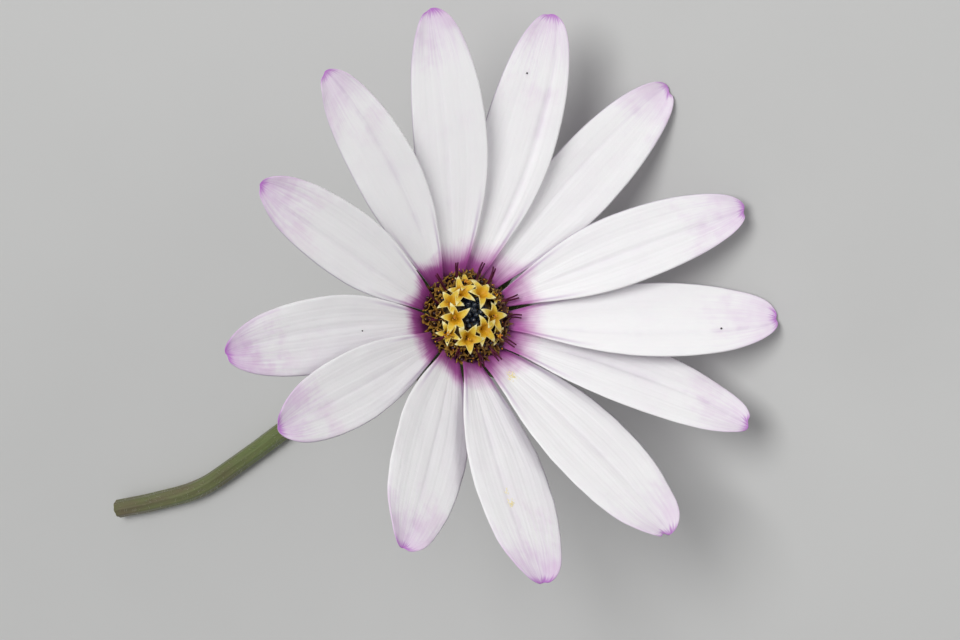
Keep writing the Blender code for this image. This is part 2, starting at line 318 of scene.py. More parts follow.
def petalSkin():
    look = petalFinish
    material = startMaterial("petalSkin", Roughness=look["rough"], Specular_IOR_Level=0.35, Sheen_Weight=0.08,
                             Subsurface_Weight=0.12, Subsurface_Radius=(0.9, 0.7, 0.8),
                             Subsurface_Scale=0.0006)
    along, across, under, seed, lilacShare, ringShare = map(attribute, (
        "along", "across", "underside", "seed", "lilacShare", "ringShare"))
    margin = calc("ABSOLUTE", across)
    mask, relief = useGroup(fibreGrain, Across=across, Along=along * 4.0, Seed=seed * 9.0, Count=15.0)
    blotch, cells = mottled(230.0, 4200.0, seed)

    colour = tint(mask * 0.07 + blotch * 0.13 + lilacShare * 0.2, look["white"], look["cool"])
    # Blush and lilac grow towards the tip, and a small dark spot ends it
    towards = ease(along + (mask - 0.5) * 0.08 + (blotch - 0.5) * 0.12, 0.7, 1.04)
    colour = tint(towards * lilacShare, colour, look["lilac"])
    colour = tint(blotch * blotch * ease(along, 0.35, 0.85) * lilacShare * 0.3, colour, look["blush"])
    edge = ease(margin, 0.84, 1.0) * ease(along, 0.7, 0.97)
    colour = tint(edge * lilacShare * 0.6, colour, look["lilac"])
    # Along each fold the lilac vein colour deepens into the groove: partly the petal's own vein, partly
    # painted shade in the fold
    crease = attribute("crease") * (0.16 + towards * 0.25) * (0.4 + blotch * 0.8)
    colour = tint(crease, colour, look["vein"])
    spot = ease(along + (mask - 0.5) * 0.02, 0.965, 1.0)
    colour = tint(spot * 0.95, colour, look["tip"])
    # The ring at the foot, feathered along the fibres and drawn out on both margins
    place = along - margin * margin * 0.03 - (mask - 0.5) * 0.014 - (blotch - 0.5) * 0.03
    feather = ease(place, 0.225 - ringShare * 0.05, 0.06 + ringShare * 0.05)
    ring = tint(ease(place, 0.19, 0.06) * (0.3 + ringShare * 0.7), look["ringPink"], look["ringDark"])
    # Right at the foot, where the petal runs in under the florets, the ring darkens further: painted shade
    ring = tint(ease(place, 0.065, 0.02) * 0.6, ring, look["ringShade"])
    line = bell(margin, 0.85, 0.06) * ease(along, 0.4, 0.14)
    colour = tint(line * 0.6, colour, look["vein"])
    colour = tint(feather, colour, ring)
    # Underside: dull lilac with a broad darker band down the middle
    band = ease(margin + (mask - 0.5) * 0.3, 0.75, 0.15)
    back = tint(band * 0.7, look["underside"], look["undersideBand"])
    return dress(material, tint(under, colour, back), relief * 0.8 + cells * 0.35, 0.2, 0.05)


def simpleSkin(name, dark, pale, rough, broad=600.0, **constants):
    # Mottled skin between two colours
    material = startMaterial(name, **constants)
    blotch, cells = mottled(broad, 5000.0)
    uneven = rough + (blotch - 0.5) * 0.12
    return dress(material, tint(blotch, dark, pale), blotch + cells * 0.6, 0.4, 0.04, uneven)


def floretSkin(name, throat, middle, point, old):
    # Floret: its throat, lobes and points in three colours, browned by each floret's own age
    material = startMaterial(name, Subsurface_Weight=0.08, Subsurface_Scale=0.0004, Specular_IOR_Level=0.3,
                             Subsurface_Radius=(1.0, 0.6, 0.2))
    lobe = attribute("lobe")
    blotch, cells = mottled(1400.0, 9000.0)
    rim = ease(attribute("rim"), 0.82, 1.0)
    colour = tint(ease(lobe + (blotch - 0.5) * 0.15, 0.0, 0.35), throat, middle)
    paler = atLeast(ease(lobe + (blotch - 0.5) * 0.2, 0.4, 0.9), rim * 0.45)
    colour = tint(paler, colour, point)
    colour = tint(atMost(attribute("age") * (0.6 + blotch * 0.8)), colour, old)
    return dress(material, colour, cells + blotch, 0.35, 0.02, 0.5 + blotch * 0.12)


def greenSkin(name, base, tinge, vein, count, tinged):
    # Stem and bracts: green with fibres and a brown-purple tinge that comes in over the tinged stretch
    material = startMaterial(name, Sheen_Weight=0.15)
    along, across = attribute("along"), attribute("across")
    mask, relief = useGroup(fibreGrain, Across=across, Along=along * 6.0, Seed=3.0, Count=count)
    blotch, cells = mottled(260.0, 5200.0)
    colour = tint(mask * 0.6 + blotch * 0.2, base, vein)
    streak = noiseAt(joinXYZ(across * 2.5, along * 9.0, 4.0), 1.0, 3.0, 0.6)
    colour = tint(ease(along + (streak - 0.5) * 1.6, *tinged) * 0.8, colour, tinge)
    return dress(material, colour, relief + cells * 0.3, 0.5, 0.04, 0.55 + (blotch - 0.5) * 0.15)


def cutSkin(pith, rind):
    # The cut end of the stem: pale wet pith inside a green rind with a ring of vessels
    material = startMaterial("cutSkin", Roughness=0.35, Subsurface_Weight=0.15, Subsurface_Scale=0.0004)
    blotch, cells = mottled(2600.0, 7000.0)
    outward = attribute("rim") + (blotch - 0.5) * 0.12
    vessels = bell(outward, 0.74, 0.06) * 0.6
    colour = tint(atLeast(vessels, ease(outward, 0.8, 0.95)), pith, rind)
    return dress(material, colour, cells + blotch, 0.5, 0.03)


skins = {
    "petal": petalSkin(),
    "open": floretSkin("openFloretSkin", (0.62, 0.32, 0.008), (0.68, 0.47, 0.04), (0.84, 0.79, 0.43),
                       (0.24, 0.15, 0.03)),
    "spent": floretSkin("spentFloretSkin", (0.06, 0.018, 0.006), (0.25, 0.12, 0.01), (0.4, 0.24, 0.03),
                        (0.085, 0.03, 0.022)),
    "anther": simpleSkin("antherSkin", (0.012, 0.004, 0.008), (0.06, 0.015, 0.02), 0.4),
    "style": simpleSkin("styleSkin", (0.045, 0.003, 0.016), (0.11, 0.008, 0.035), 0.5,
                        Specular_IOR_Level=0.2),
    "bud": simpleSkin("budSkin", (0.008, 0.012, 0.026), (0.04, 0.052, 0.062), 0.24, broad=2200.0,
                      Coat_Weight=0.5, Coat_Roughness=0.12),
    "pollen": simpleSkin("pollenSkin", (0.62, 0.2, 0.008), (0.8, 0.45, 0.02), 0.7, broad=3000.0),
    "bract": greenSkin("bractSkin", (0.085, 0.14, 0.028), (0.1, 0.04, 0.05), (0.16, 0.23, 0.06), 9.0,
                       (0.72, 1.25)),
    "stem": greenSkin("stemSkin", (0.1, 0.14, 0.035), (0.13, 0.075, 0.055), (0.17, 0.2, 0.07), 16.0,
                      (0.3, 1.5)),
    "cut": cutSkin((0.62, 0.64, 0.46), (0.3, 0.38, 0.15)),
    "hair": simpleSkin("hairSkin", (0.45, 0.47, 0.36), (0.75, 0.76, 0.66), 0.5, Subsurface_Weight=0.1,
                       Subsurface_Scale=0.0003),
    "core": simpleSkin("coreSkin", (0.05, 0.025, 0.008), (0.22, 0.13, 0.025), 0.7, broad=1800.0),
    "dust": simpleSkin("dustSkin", (0.82, 0.68, 0.24), (0.9, 0.84, 0.48), 0.8),
    "speck": simpleSkin("speckSkin", (0.015, 0.012, 0.01), (0.05, 0.04, 0.03), 0.5),
}
print("materials ready")


# Ray florets

petal = {"firstRoot": 84.0, "count": 13, "trough": 0.12, "footTrough": 0.34, "groove": 0.075, "rib": 0.008,
         "ribTurns": 41.0, "foldWidth": 0.09, "tipCup": 0.45, "toothWidth": 0.4, "merge": 0.004}
# What the tree's inputs start with
petalInputs = {"Root Direction": 0.0, "Root Radius": 3.6, "Thickness": 0.36, "Ripple": 0.22, "Flutter": 0.2,
               "Seed": 0.0, "Rows": 90, "Columns": 52, "Swell Power": 0.74, "Tip Power": 2.1,
               "Tip Bluntness": 0.47, "Relief": 1.0, "Head Lean": head["lean"],
               "Head Centre": tuple(headCentre)}
petalWords = ("Aim", "Length", "Width", "Sweep", "Rise At Root", "Rise At Tip", "Roll", "Root Height",
              "Root Share", "Fold Place", "Fold Depth", "Tooth Place", "Tooth Depth", "Lilac Share",
              "Ring Share", "Widest At")
# Each petal's values in that order; Root Share is the root's part of the width
petals = (
    (80.5, 35.2, 8.3, 10, 32, 18, 12, 0.1, 0.25, 0.15, 0.08, 0.5, 0.15, 0.55, 0.6, 0.54),
    (54.5, 35.2, 8.3, 5, 31, 17, 11, 0, 0.23, -0.45, 0.16, 0.4, 0.15, 0.5, 0.35, 0.54),
    (25.5, 35, 8.2, -5, 29, 13.6, 2, -0.2, 0.17, 0.25, 0.08, -0.6, 0.36, 0.45, 0.25, 0.54),
    (-3.5, 33.8, 8, -10, 34, 22, -1, 0.3, 0.15, -0.1, 0.1, -0.4, 0.3, 0.55, 0.3, 0.54),
    (-25.5, 35.4, 8.8, 4, 30.5, 13, 12, 0.1, 0.2, -0.35, 0.1, 0, 0.2, 0.4, 0.15, 0.59),
    (-47, 34, 8.3, -14, 26, 16, 15, 0, 0.23, 0.1, 0.12, 0.5, 0.3, 0.45, 0.2, 0.56),
    (-78, 33.6, 11.2, -7.5, 30, 18, 16, 0, 0.26, 0.05, 0.08, -0.7, 0.45, 0.4, 0.35, 0.6),
    (-109.6, 33.5, 10.2, 4, 31, 18, 14, 0, 0.17, -0.2, 0.08, 0.3, 0.2, 0.65, 0.45, 0.62),
    (-140.8, 32.8, 9.9, 0, 31, 18, 14, 0.1, 0.2, 0.1, 0.08, 0.3, 0.2, 0.6, 0.6, 0.54),
    (-176.5, 33.5, 7.8, -3, 31, 18, 11, 0.1, 0.26, 0.05, 0.07, -0.3, 0.15, 0.8, 0.8, 0.6),
    (168.5, 35.4, 8.1, 6, 29, 16, 11, -0.3, 0.26, -0.15, 0.08, 0.3, 0.25, 0.9, 1, 0.54),
    (134, 32.6, 7.6, -2, 31, 18, 11, 0.1, 0.2, 0.2, 0.1, 0.4, 0.2, 0.75, 0.95, 0.54),
    (106.5, 33.9, 7.3, 10, 31, 18, 13, 0.1, 0.16, -0.2, 0.12, 0.4, 0.2, 0.5, 0.8, 0.54),
)


def petalTree():
    # One petal: a midline summed up step by step, wrapped in a thin blade with folds, ribs and a toothed tip
    given = startTree("petalBlade", {**dict.fromkeys(petalWords, 0.0), **petalInputs})
    radians = lambda wire: calc("RADIANS", wire)
    cos = lambda wire: calc("COSINE", wire)
    sin = lambda wire: calc("SINE", wire)

    # Midline
    index = put("GeometryNodeInputIndex")
    line = put("GeometryNodeResampleCurve", {"Curve": put("GeometryNodeCurvePrimitiveLine"),
                                             "Count": given["Rows"] + 1.0})

    def alongAt(row):
        return 1.0 - atLeast(1.0 - row / given["Rows"]) ** 1.6

    def tangentAt(share):
        rise = radians(given["Rise At Root"] + (given["Rise At Tip"] - given["Rise At Root"]) * share)
        heading = radians(given["Aim"] + given["Sweep"] * (share - 0.5))
        return joinXYZ(cos(rise) * cos(heading), cos(rise) * sin(heading), sin(rise)), heading

    along = alongAt(index)
    before = alongAt(atLeast(index - 1.0))
    tangent, heading = tangentAt(along)
    stride = vectorCalc("NORMALIZE", vectorCalc("ADD", tangent, tangentAt(before)[0]))
    pace = (given["Length"] - given["Root Radius"]) * (along - before)
    walked = put("GeometryNodeAccumulateField", {"Value": scaled(stride, pace)}, data_type="FLOAT_VECTOR")
    root = radians(given["Root Direction"])
    foot = joinXYZ(given["Root Radius"] * cos(root), given["Root Radius"] * sin(root), given["Root Height"])
    flat = joinXYZ(sin(heading) * -1.0, cos(heading), 0.0)
    roll = put("FunctionNodeAxisAngleToRotation", {"Axis": tangent, "Angle": radians(given["Roll"]) * -1.0})
    sideways = put("FunctionNodeRotateVector", {"Vector": flat, "Rotation": roll})
    upright = vectorCalc("CROSS_PRODUCT", tangent, sideways)
    spine, along, place, tangent, sideways, upright = capture(
        line, along=along, place=vectorCalc("ADD", walked, foot), tangent=tangent, sideways=sideways,
        upright=upright)

    # Blade: a closed loop round the midline; turn runs over the top from margin to margin and back below
    circle = put("GeometryNodeCurvePrimitiveCircle", {"Resolution": given["Columns"] * 2.0})
    loop, turn = capture(circle, turn=index / (given["Columns"] * 2.0))
    wrapped = put("GeometryNodeCurveToMesh", {"Curve": spine, "Profile Curve": loop, "Fill Caps": True})
    across = 1.0 - calc("ABSOLUTE", turn * 2.0 - 1.0) * 2.0
    onTop = calc("LESS_THAN", turn, 0.5)
    margin = calc("ABSOLUTE", across)
    swell = sin(atMost(along / given["Widest At"]) ** given["Swell Power"] * (math.pi / 2))
    swell = given["Root Share"] + (1.0 - given["Root Share"]) * swell * swell
    past = atLeast((along - given["Widest At"]) / (1.0 - given["Widest At"]))
    closing = atLeast(1.0 - past ** given["Tip Power"]) ** given["Tip Bluntness"]
    lateral = given["Width"] * 0.5 * swell * closing * across

    # Height of the surface over the midline
    fade = atMost(along * 5.0)
    openUp = atMost(along * 6.0 + 0.2)
    trough = across * across * (petal["trough"] + petal["footTrough"] * (1.0 - along)) * openUp
    grooves = petal["groove"] * bell(margin, 0.42, 0.2) * fade * (1.0 - along * along)
    crease = bell(across, given["Fold Place"], petal["foldWidth"]) * ease(along, 0.12, 0.35)
    fold = given["Fold Depth"] * crease * ease(along, 0.97, 0.6)
    ribs = petal["rib"] * cos(across * petal["ribTurns"]) * fade
    ribs = ribs * ease(margin, 1.0, 0.8) * (1.0 - along ** 8.0)
    # The relief dies out where the tip narrows to a point
    narrowing = atMost(closing * 2.0)
    broad = joinXYZ(across * narrowing * 0.8, along * 2.4, given["Seed"])
    ripple = (noiseAt(broad, 1.0) - 0.5) * given["Ripple"] * 2.0 * atMost(along * 2.5)
    quick = joinXYZ(across * 1.5, along * 7.0, given["Seed"] + 5.0)
    flutter = (noiseAt(quick, 1.0) - 0.5) * given["Flutter"] * 2.0 * margin ** 3.0 * fade
    cup = across * across * petal["tipCup"] * ease(along, 0.82, 1.0)
    height = ((trough - grooves - fold + ribs + cup) * given["Relief"] + flutter) * narrowing + ripple
    rim = calc("SQRT", 1.0 - margin ** 5.0) * calc("SQRT", atLeast(1.0 - along ** 60.0))
    height = height + (onTop - 0.5) * rim * given["Thickness"]
    tooth = given["Tooth Depth"] * bell(lateral, given["Tooth Place"], petal["toothWidth"])
    tooth = tooth * ease(along, 0.9, 1.0)
    spot = place
    for direction, size in ((sideways, lateral), (upright, height), (tangent, tooth * -1.0)):
        spot = vectorCalc("ADD", spot, scaled(direction, size))
    blade = put("GeometryNodeSetPosition", {"Geometry": wrapped, "Position": spot})
    # crease carries each fold to the petal skin, which paints the vein colour and shade along it
    kept = {"along": along, "across": across, "underside": 1.0 - onTop, "seed": given["Seed"] * 0.1,
            "crease": crease * given["Fold Depth"] * 6.0, "lilacShare": given["Lilac Share"],
            "ringShare": given["Ring Share"]}
    for name, wire in kept.items():
        blade = store(blade, name, wire)
    blade = put("GeometryNodeMergeByDistance", {"Geometry": blade, "Distance": petal["merge"]})
    blade = put("GeometryNodeFlipFaces", {"Mesh": blade})
    blade = put("GeometryNodeTransform", {"Geometry": blade, "Scale": (mm, mm, mm)})
    lean = put("FunctionNodeEulerToRotation", {"Euler": joinXYZ(0.0, radians(given["Head Lean"]), 0.0)})
    blade = put("GeometryNodeTransform", {"Geometry": blade, "Translation": given["Head Centre"],
                                          "Rotation": lean})
    return endTree(blade, given)


petalBlade = petalTree()


def rootDirection(index):
    return petal["firstRoot"] - 360.0 / petal["count"] * index


def makePetal(index, row):
    name = "%02d" % (index + 1)
    values = {**dict(zip(petalWords, map(float, row))), "Root Direction": rootDirection(index),
              "Seed": 1.7 * index + 0.6}
    mesh = grow("petal" + name, petalBlade, "petal", values)
    return placePiece("petal" + name, mesh, "petal", "ray_floret_" + name)


petalPieces = [makePetal(*entry) for entry in enumerate(petals)]
print("petals ready")


# Round stalks: a path wrapped in a ribbed skin makes the stem, the cup and every thread

def stalkTree():
    given = startTree("ribbedStalk", {"Ribs": 9, "Rib Depth": 0.05, "Lumps": 0.0, "Rings": 100, "Sides": 32})
    line = put("GeometryNodeResampleCurve", {"Curve": given["Geometry"], "Count": given["Rings"]})
    spine, along, girth = capture(line, along=put("GeometryNodeSplineParameter")["Factor"],
                                  girth=put("GeometryNodeInputRadius"))
    circle = put("GeometryNodeCurvePrimitiveCircle", {"Resolution": given["Sides"]})
    loop, turn = capture(circle, turn=put("GeometryNodeInputIndex") / given["Sides"])
    wave = calc("COSINE", turn * given["Ribs"] * (2 * math.pi))
    place = put("GeometryNodeInputPosition")
    shaped = scaled(place, 1.0 - given["Rib Depth"] * (0.5 - wave * 0.5))
    loop = put("GeometryNodeSetPosition", {"Geometry": loop, "Position": shaped})
    skin = put("GeometryNodeCurveToMesh", {"Curve": spine, "Profile Curve": loop, "Scale": girth,
                                           "Fill Caps": True})
    dent = (noiseAt(place, 450.0, 3.0) - 1.0) * given["Lumps"] * mm
    dent = scaled(put("GeometryNodeInputNormal"), dent)
    skin = put("GeometryNodeSetPosition", {"Geometry": skin, "Offset": dent})
    skin = store(skin, "along", along)
    skin = store(skin, "across", calc("ABSOLUTE", turn * 2.0 - 1.0))
    return endTree(skin, given)


ribbedStalk = stalkTree()


def threadCurve(name, paths):
    # Paths of (point, radius) in metres as one curve; radii go with the points
    curve = bpy.data.curves.new(name, "CURVE")
    curve.dimensions = "3D"
    for path in paths:
        line = curve.splines.new("POLY")
        line.points.add(len(path) - 1)
        for spot, (point, radius) in zip(line.points, path):
            spot.co = (*point, 1.0)
            spot.radius = radius
    return curve


def growStalk(name, look, skin, paths):
    return grow(name, ribbedStalk, skin, look, threadCurve(name + "Paths", paths))


def bezier(a, b, c, d, share):
    rest = 1 - share
    return a * rest ** 3 + b * 3 * rest * rest * share + c * 3 * rest * share * share + d * share ** 3


def smoothed(places, steps):
    # Points on a smooth curve through all the places
    padded = [places[0] * 2 - places[1], *places, places[-1] * 2 - places[-2]]
    points = [places[0]]
    for before, a, b, after in zip(padded, padded[1:], padded[2:], padded[3:]):
        for step in range(1, steps + 1):
            points.append(bezier(a, a + (b - before) / 6, b - (after - a) / 6, b, step / steps))
    return points


stem = {"radius": 1.15, "topRadius": 1.3, "top": -7.9, "bendReach": 12.0, "bendPoints": 30,
        "onTable": ((-36.0, -3.4), (-43.5, -4.8), (-50.0, -5.7), (-56.5, -5.0), (-62.0, -4.0)),
        "Ribs": 8, "Rib Depth": 0.09, "Lumps": 0.05, "Rings": 260, "Sides": 64, "cutLumps": 0.02,
        "cut": ((0.9, -0.15), (0.93, 0.03), (0.84, 0.07), (0.7, 0.03), (0.5, 0.05), (0.3, 0.04),
                (0.02, 0.06))}
cup = {"profile": ((1.3, -8.2), (2.0, -7.0), (3.2, -5.4), (4.05, -3.6), (4.25, -2.2), (3.9, -1.05)),
       "Ribs": 13, "Rib Depth": 0.1, "Lumps": 0.08, "Rings": 60, "Sides": 156}
bracts = {
    "apart": 0.06, "sweep": 9, "roll": 8, "length": (0.95, 1.03),
    "both": {"Root Radius": 3.1, "Root Share": 0.75, "Widest At": 0.35, "Tip Power": 1.9,
             "Tip Bluntness": 1.0, "Thickness": 0.34, "Relief": 0.55, "Ripple": 0.25,
             "Rows": 26, "Columns": 12},
    "outer": {"Length": 10.6, "Width": 2.6, "Rise At Root": 22.0, "Rise At Tip": 44.0, "Root Height": -3.75},
    "inner": {"Length": 8.8, "Width": 2.7, "Rise At Root": 27.0, "Rise At Tip": 37.0, "Root Height": -2.7},
}


def stemRoute():
    # From inside the cup, down in one bend and along the table, in metres
    x, y, _ = head["centre"]
    axis = headTurn @ Vector((0, 0, 1))
    start = Vector(head["centre"]) + axis * stem["top"]
    table = [Vector((x + right, y + up, stem["radius"])) for right, up in stem["onTable"]]
    handle = (table[0] - table[1]).normalized() * stem["bendReach"]
    route = []
    for k in range(stem["bendPoints"]):
        share = k / stem["bendPoints"]
        point = bezier(start, start - axis * stem["bendReach"], table[0] + handle, table[0], share)
        radius = stem["topRadius"] + (stem["radius"] - stem["topRadius"]) * share
        route.append((point * mm, radius * mm))
    return route + [(point * mm, stem["radius"] * mm) for point in smoothed(table, 8)]


def makeStem():
    route = stemRoute()
    mesh = growStalk("stalk", stem, "stem", [route])
    makeCut(route[-2][0], route[-1][0])
    return placePiece("stalk", mesh, "stem", "stem")


def makeCut(before, end):
    # A shallow uneven cap over the cut end
    rings, rim = [], []
    sides = stem["Sides"]
    for share, bulge in stem["cut"]:
        ring = []
        for turn in (360.0 * k / sides for k in range(sides)):
            wave = 1 - stem["Rib Depth"] * (0.5 - 0.5 * math.cos(math.radians(turn * stem["Ribs"])))
            lump = vary(stem["cutLumps"]) * (0 < share < 0.9)
            ring.append(polar(stem["radius"] * share * wave, turn, bulge + lump))
        rings.append(ring)
        rim += [share] * sides
    mesh = ringMesh("cutEnd", rings, rim=rim)
    facing = (end - before).to_track_quat("Z", "Y").to_matrix().to_4x4()
    mesh.transform(Matrix.Translation(end) @ facing @ Matrix.Scale(mm, 4))
    mesh.materials.append(skins["cut"])
    mesh.shade_smooth()
    placePiece("cutEnd", mesh, "stem")


def makeInvolucre():
    # The cup with two rings of pointed bracts that grow from it
    profile = smoothed([Vector((radius, height, 0)) for radius, height in cup["profile"]], 5)
    path = [(headPlace @ Vector((0, 0, p.y)) * mm, p.x * mm) for p in profile]
    cupPiece = placePiece("cupOfBracts", growStalk("involucre", cup, "bract", [path]), "bract", "involucre")
    blades = []
    for ring, shift in (("outer", 0.5), ("inner", 0.0)):
        for index in range(petal["count"]):
            aim = rootDirection(index + shift + vary(bracts["apart"]))
            values = {**bracts["both"], **bracts[ring], "Aim": aim, "Root Direction": aim,
                      "Sweep": vary(bracts["sweep"]), "Roll": vary(bracts["roll"]),
                      "Seed": 20.0 + 1.3 * len(blades)}
            values["Length"] *= random.uniform(*bracts["length"])
            blades.append(grow("bract", petalBlade, "bract", values))
    return cupPiece, placePiece("bracts", joined("bracts", blades), "bract", "involucre")


def joined(name, meshes):
    # Several meshes as one; their attributes and materials stay
    holders = [linked(name, mesh) for mesh in meshes]
    with bpy.context.temp_override(active_object=holders[0], selected_editable_objects=holders):
        bpy.ops.object.join()
    return plainMesh(name, holders[0])


def hairTree():
    # Short hairs that taper; none reaches below the table
    given = startTree("fineHairs", {"Density": 1.0, "Length": 0.5, "Width": 0.03, "Lean": 35.0, "Seed": 0})
    spread = put("GeometryNodeDistributePointsOnFaces", {
        "Mesh": given["Geometry"], "Seed": given["Seed"], "Density": given["Density"] * 1e6})
    length, width = given["Length"] * mm, given["Width"] * mm
    cone = put("GeometryNodeMeshCone", {"Vertices": 3, "Side Segments": 2, "Radius Top": width * 0.1,
                                        "Radius Bottom": width * 0.5, "Depth": length})
    lean = calc("RADIANS", given["Lean"])
    back = lean * -1.0
    tilt = put("FunctionNodeRandomValue", {
        "Min": joinXYZ(back, back, -3.14), "Max": joinXYZ(lean, lean, 3.14), "Seed": given["Seed"]},
        data_type="FLOAT_VECTOR")
    turned = put("FunctionNodeRotateRotation", {
        "Rotation": spread["Rotation"], "Rotate By": put("FunctionNodeEulerToRotation", {"Euler": tilt})},
        rotation_space="LOCAL")
    size = put("FunctionNodeRandomValue", {"Min": 0.5, "Max": 1.15, "Seed": given["Seed"]})
    height = put("ShaderNodeSeparateXYZ", {"Vector": put("GeometryNodeInputPosition")})["Z"]
    facing = put("ShaderNodeSeparateXYZ", {"Vector": spread["Normal"]})["Z"]
    clear = calc("GREATER_THAN", height + (facing - 0.5) * length, 0.0)
    hairs = put("GeometryNodeInstanceOnPoints", {"Points": spread["Points"], "Selection": clear,
                                                 "Instance": cone["Mesh"], "Rotation": turned, "Scale": size})
    return endTree(hairs, given)


def makeHairs(stalk, cupPiece, bractPiece):
    tree = hairTree()
    for name, surface, slot, density, length, seed in (
            ("stemHairs", stalk, "stem", 3.2, 0.55, 3), ("cupHairs", cupPiece, "bract", 3.0, 0.5, 5),
            ("bractHairs", bractPiece, "bract", 2.2, 0.42, 7)):
        values = {"Density": density, "Length": length, "Seed": seed}
        placePiece(name, grow(name, tree, "hair", values, surface.data.copy()), slot)


# Disc florets

# Heights and radii of the tube; then the lobes: reach, gap between them, how they rise, droop and bulge
star = {
    "open": {"tube": ((-1.9, 0.22), (-1.0, 0.2), (-0.45, 0.2), (-0.08, 0.56)), "tip": 1.76, "gap": 0.71,
             "rise": 0.4, "droop": 0.36, "bulge": 0.07, "keel": 0.2, "skin": 0.09, "half": 4, "wild": 0.2},
    "spent": {"tube": ((-1.6, 0.2), (-0.8, 0.28), (-0.3, 0.34), (-0.05, 0.38)), "tip": 0.86, "gap": 0.47,
              "rise": 0.36, "droop": 0.05, "bulge": 0.05, "keel": 0.05, "skin": 0.08, "half": 2, "wild": 0.3},
}
anther = {"radius": 0.2, "foot": -0.6, "top": 0.45, "sides": 10, "aside": 0.1, "size": 0.6,
          "profile": ((0.0, 0.7), (0.3, 1.0), (0.75, 1.05), (0.9, 0.85), (1.0, 0.35)), "ridges": (0.9, 1.12)}
bud = {"radius": 0.46, "height": 1.25, "ridges": 5, "ridge": 0.2, "rings": 10, "sides": 20}
# Open florets: direction, radius, height, size, direction of one lobe, how far any anthers stand out
openFlorets = (
    (96, 2.7, 2.9, 1.05, 108, None), (76, 3.45, 2.5, 0.85, 31, 0.1), (43, 2.5, 3.05, 1.15, 54, None),
    (131, 2.85, 2.85, 1.0, 137, None), (171, 2.35, 3.05, 1.08, 112, 0.0), (-167, 3.5, 2.45, 0.85, 131, 0.1),
    (-129, 2.8, 2.95, 1.15, -135, 0.0), (-81, 2.05, 3.1, 1.1, 51, None), (-31, 2.25, 3.05, 1.15, 25, 0.1),
    (12, 3.7, 2.2, 0.75, 40, 0.15), (-60, 3.6, 2.3, 0.8, -20, 0.2),
)
openLean = 9.0   # degrees outward for each millimetre from the middle
budHead = {"count": 21, "spread": 0.39, "centre": (0.22, 0.3), "top": 3.1, "fall": 0.14, "lean": 12.0,
           "size": (0.75, 1.0), "turn": 137.508}
spent = {  # rows: count, radius, height, lean, first direction; then by how much each floret differs
    "rows": ((25, 4.75, 1.35, 58.0, 4.0), (23, 4.15, 1.85, 42.0, 12.0), (19, 3.55, 2.15, 28.0, 0.0)),
    "apart": 0.22, "radius": 0.18, "lean": 10, "height": (-0.2, 0.15), "size": (0.85, 1.15), "shapes": 5,
    "age": 0.45, "ageSlope": 0.4, "ageSpread": 0.3, "youngSide": 160}
pollen = {"perAnther": 14, "scatter": 0.11, "size": (0.05, 0.1)}
receptacleSides = 40
receptacle = ((0.02, -0.95), (3.9, -0.95), (4.2, 0.3), (3.7, 1.05), (2.8, 1.75), (1.6, 2.4), (0.02, 2.55))


def ringMesh(name, rings, closed=True, **values):
    # Surface through rings of equal count, with named values for its points
    count = len(rings[0])
    points = [point for ring in rings for point in ring]
    faces = []
    for level in range(len(rings) - 1):
        for k in range(count):
            a, b = level * count + k, level * count + (k + 1) % count
            faces.append((a, b, b + count, a + count))
    if closed:
        faces += [tuple(reversed(range(count))), tuple(range(len(points) - count, len(points)))]
    mesh = bpy.data.meshes.new(name)
    mesh.from_pydata(points, [], faces)
    for label, numbers in values.items():
        mesh.attributes.new(label, "FLOAT", "POINT").data.foreach_set("value", numbers)
    return mesh


def skinned(mesh, thickness):
    # Gives an open surface two sides and a rim
    holder = linked(mesh.name, mesh)
    shell = holder.modifiers.new("skin", "SOLIDIFY")
    shell.thickness = thickness
    return plainMesh(mesh.name, holder)


def starFloret(name, look):
    # A slim tube that opens into five pointed, keeled lobes, no two alike
    lobes, half = 5, look["half"]
    count = lobes * 2 * half
    rings = [[polar(radius, 360.0 * k / count, height) for k in range(count)]
             for height, radius in look["tube"]]
    lobe = [0.0] * count * len(rings)
    rim = list(lobe)
    mouth = look["tube"][-1][1]
    wild = look["wild"]
    habits = [(random.uniform(1 - wild, 1 + wild * 0.5), vary(40) * wild,
               random.uniform(-1.2, 1.5) * wild) for _ in range(lobes)]
    for share in (0.2, 0.45, 0.7, 0.88, 1.0):
        ring = []
        for k in range(count):
            phase = k % (2 * half) - half
            axis = (k - phase) * 360.0 / count
            length, turn, lift = habits[k // (2 * half)]
            side = 1 if phase > 0 else -1
            towardTip = 1 - abs(phase) / half
            tip = polar(look["tip"] * length, axis + turn * towardTip, 0)
            gap = polar(look["gap"], axis + side * 180.0 / lobes, 0)
            edge = gap.lerp(tip, towardTip)
            edge += polar(look["bulge"] * math.sin(math.pi * towardTip), axis + side * 90, 0) * (phase != 0)
            spot = polar(mouth, 360.0 * k / count, 0).lerp(edge, share)
            reach = min(1.0, max(0.0, (spot.length - mouth) / (look["tip"] * length - mouth)))
            spot.z = look["rise"] * reach - (look["droop"] - lift) * reach ** 3
            spot.z += look["keel"] * (abs(phase) / half) * share * (1 - reach)
            ring.append(spot)
            lobe.append(reach)
            rim.append(share)
        rings.append(ring)
    return skinned(ringMesh(name, rings, closed=False, lobe=lobe, rim=rim), look["skin"])


def antherMesh():
    rings = []
    sides = anther["sides"]
    for share, girth in anther["profile"]:
        height = anther["foot"] + (anther["top"] - anther["foot"]) * share
        rings.append([polar(anther["radius"] * girth * anther["ridges"][k % 2], 360.0 * k / sides, height)
                      for k in range(sides)])
    return ringMesh("anther", rings)


